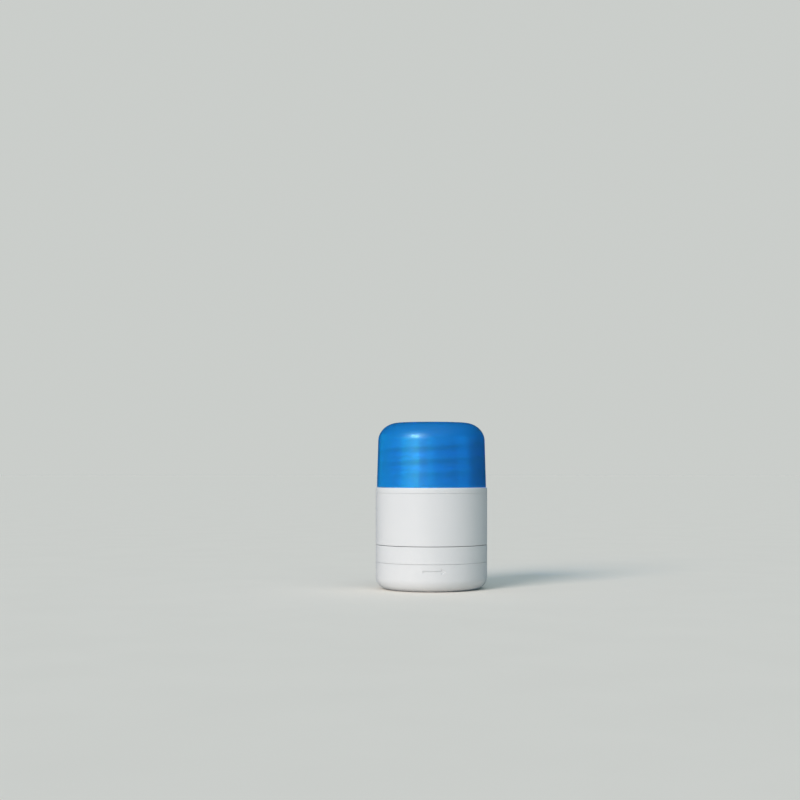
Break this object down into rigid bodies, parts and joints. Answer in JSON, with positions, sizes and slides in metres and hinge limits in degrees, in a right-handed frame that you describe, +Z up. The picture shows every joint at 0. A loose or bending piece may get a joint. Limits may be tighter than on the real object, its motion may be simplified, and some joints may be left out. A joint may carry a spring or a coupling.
{
  "type": "pill crusher",
  "caption": "Upright cylindrical pill crusher: translucent screw-on crush cup, white body with tablet and powder storage, and a hinged pill cutter in its base.",
  "frame": {"origin": "middle of the flat face of the cutter lid that the object stands on", "axes": "+Z up along the cylinder's axis, front at -Y where the arrow is, hinge at +Y, +X to the right seen from the front"},
  "size_m": [0.046, 0.046, 0.0684],
  "materials": {
    "white_shell": "satin moulded, cool white",
    "white_inner": "smooth moulded",
    "blue_clear": "glossy translucent blue",
    "blade_steel": "ground and honed",
    "steel": "plated",
    "seal_rubber": "soft silicone",
    "soft_pad": "soft matt"
  },
  "bodies": {
    "cutter_lid": {"cutter_lid": "white_shell", "hinge_pin": "steel", "blade_holder": "white_inner", "blade": "blade_steel", "holder_screw_left": "steel", "holder_screw_right": "steel"},
    "cutter_base": {"cutter_base": "white_shell", "pill_holder": "white_inner", "pill_pad": "soft_pad"},
    "body_seal": {"body_seal_ring": "seal_rubber"},
    "main_body": {"main_body": "white_shell", "plunger": "white_shell"},
    "tablet_cup": {"tablet_cup": "white_inner", "tablet_divider": "white_inner"},
    "cup_seal": {"cup_seal_ring": "seal_rubber"},
    "crush_cup": {"crush_cup": "blue_clear"}
  },
  "joints": [
    {"name": "lid_hinge", "type": "hinge", "parent": "cutter_lid", "child": "cutter_base", "pos_m": [0, 0.0206, 0.01125], "axis": [-1, 0, 0], "range_deg": [0, 95]},
    {"name": "body_lift", "type": "slide", "parent": "cutter_base", "child": "body_seal", "axis": [0, 0, 1], "range_m": [0, 0.0256]},
    {"name": "body_turn", "type": "hinge", "parent": "body_seal", "child": "main_body", "pos_m": [0, 0, 0.0182], "axis": [0, 0, 1], "range_deg": [0, 1440]},
    {"name": "tablet_cup_draw", "type": "slide", "parent": "body_seal", "child": "tablet_cup", "axis": [0, 0, -1], "range_m": [0, 0.0205]},
    {"name": "cup_lift", "type": "slide", "parent": "main_body", "child": "cup_seal", "axis": [0, 0, 1], "range_m": [0, 0.02231]},
    {"name": "cup_turn", "type": "hinge", "parent": "cup_seal", "child": "crush_cup", "pos_m": [0, 0, 0.0418], "axis": [0, 0, 1], "range_deg": [0, 1530]}
  ],
  "couplings": [
    {"joint": "body_lift", "follows": "body_turn", "m_per_rad": 0.0010186},
    {"joint": "tablet_cup_draw", "follows": "body_turn", "m_per_rad": 0.0008155},
    {"joint": "cup_lift", "follows": "cup_turn", "m_per_rad": 0.00083556}
  ]
}
